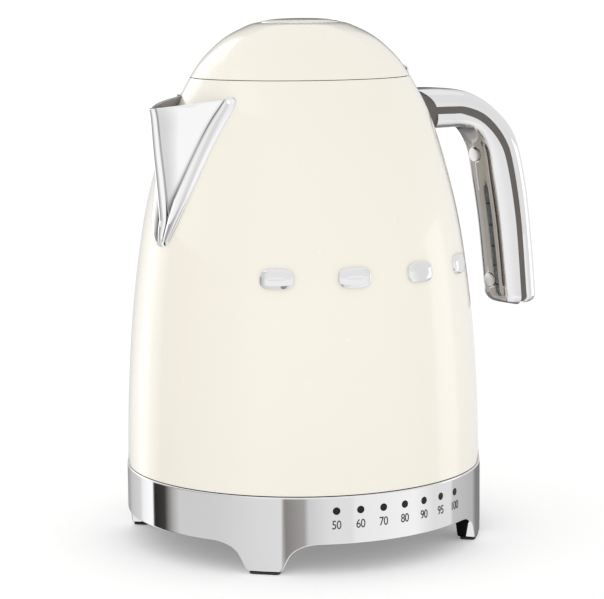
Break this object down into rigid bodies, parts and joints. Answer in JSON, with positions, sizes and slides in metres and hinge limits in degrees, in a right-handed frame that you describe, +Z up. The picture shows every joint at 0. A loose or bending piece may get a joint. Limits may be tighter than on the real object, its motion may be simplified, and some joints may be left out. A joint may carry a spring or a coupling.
{
  "type": "electric kettle",
  "caption": "Retro dome-lidded electric kettle jug with beak spout and drop handle, on a footed power base with temperature lights and keys.",
  "frame": {"origin": "on the ground under the middle of the object's box", "axes": "+Z up, -X out of the spout, +X to the handle, -Y out of the temperature panel"},
  "size_m": [0.224, 0.171, 0.248],
  "materials": {
    "cream_paint": "gloss cream enamel over steel",
    "chrome": "polished bright plating",
    "brushed_steel": "brushed stainless steel",
    "plain_steel": "plain drawn steel",
    "aluminium": "cast, matt",
    "grey_plastic": "warm dark grey, satin",
    "dark_plastic": "near black, fine spark texture",
    "light_lens": "smoked gloss lens, unlit",
    "rubber": "matt moulded rubber",
    "silicone": "translucent grey silicone",
    "window_clear": "clear water gauge window",
    "circuit_board": "green lacquered board"
  },
  "bodies": {
    "base": {"base_band": "chrome", "base_top_plate": "grey_plastic", "base_bottom_cover": "dark_plastic", "base_connector": "dark_plastic", "light_board": "circuit_board", "key_board": "circuit_board", "cord_gland": "dark_plastic", "foot_pad_1": "rubber", "foot_pad_2": "rubber", "foot_pad_3": "rubber", "foot_pad_4": "rubber", "base_screw_1": "plain_steel", "base_screw_2": "plain_steel", "base_screw_3": "plain_steel", "base_screw_4": "plain_steel", "light_lens_1": "light_lens", "light_lens_2": "light_lens", "light_lens_3": "light_lens", "light_lens_4": "light_lens", "light_lens_5": "light_lens", "light_lens_6": "light_lens", "light_lens_7": "light_lens"},
    "jug": {"body_shell": "cream_paint", "mouth_collar": "brushed_steel", "vessel_floor": "brushed_steel", "temperature_sensor": "plain_steel", "heat_plate": "aluminium", "heating_element": "plain_steel", "jug_bottom_cover": "dark_plastic", "connector_socket": "dark_plastic", "water_window": "window_clear", "window_bezel": "chrome", "spout": "chrome", "filter_frame": "grey_plastic", "filter_mesh": "brushed_steel", "handle_outer_shell": "chrome", "handle_core": "grey_plastic", "handle_inner_shell": "chrome", "screw_cap_top": "chrome", "screw_cap_bottom": "chrome", "handle_screw_top": "plain_steel", "handle_screw_bottom": "plain_steel", "handle_collar": "grey_plastic", "badge_stud_1": "chrome", "badge_stud_2": "chrome", "badge_stud_3": "chrome", "badge_stud_4": "chrome", "hinge_bracket": "chrome", "hinge_pin": "plain_steel"},
    "lid": {"lid_hinge_leaf": "chrome", "lid_shell": "cream_paint", "lid_ring": "chrome", "lid_liner": "dark_plastic", "lid_gasket": "silicone", "lid_button_spring": "plain_steel"},
    "lid_button": {"lid_button": "cream_paint"},
    "lid_latch": {"lid_latch": "grey_plastic"},
    "start_key": {"start_key": "chrome"},
    "temperature_key": {"temperature_key": "chrome"},
    "keep_warm_key": {"keep_warm_key": "chrome"}
  },
  "joints": [
    {"name": "jug_lift", "type": "slide", "parent": "base", "child": "jug", "axis": [0, 0, 1], "range_m": [0, 0.1]},
    {"name": "lid_hinge", "type": "hinge", "parent": "jug", "child": "lid", "pos_m": [0.0285, 0, 0.2225], "axis": [0, 1, 0], "range_deg": [0, 80]},
    {"name": "lid_button_press", "type": "slide", "parent": "lid", "child": "lid_button", "axis": [0, 0, -1], "range_m": [0, 0.0022], "stiffness_N_per_m": 500, "springref_m": -0.001, "deforming": ["lid_button_spring"]},
    {"name": "lid_latch_draw", "type": "slide", "parent": "lid", "child": "lid_latch", "axis": [1, 0, 0], "range_m": [0, 0.0022]},
    {"name": "start_key_press", "type": "slide", "parent": "base", "child": "start_key", "axis": [-0.9816, -0.1908, 0], "range_m": [0, 0.0012], "stiffness_N_per_m": 900, "springref_m": -0.0008},
    {"name": "temperature_key_press", "type": "slide", "parent": "base", "child": "temperature_key", "axis": [-1, 0, 0], "range_m": [0, 0.0012], "stiffness_N_per_m": 900, "springref_m": -0.0008},
    {"name": "keep_warm_key_press", "type": "slide", "parent": "base", "child": "keep_warm_key", "axis": [-0.9816, 0.1908, 0], "range_m": [0, 0.0012], "stiffness_N_per_m": 900, "springref_m": -0.0008}
  ],
  "couplings": [
    {"joint": "lid_latch_draw", "follows": "lid_button_press", "ratio": 0.9}
  ]
}
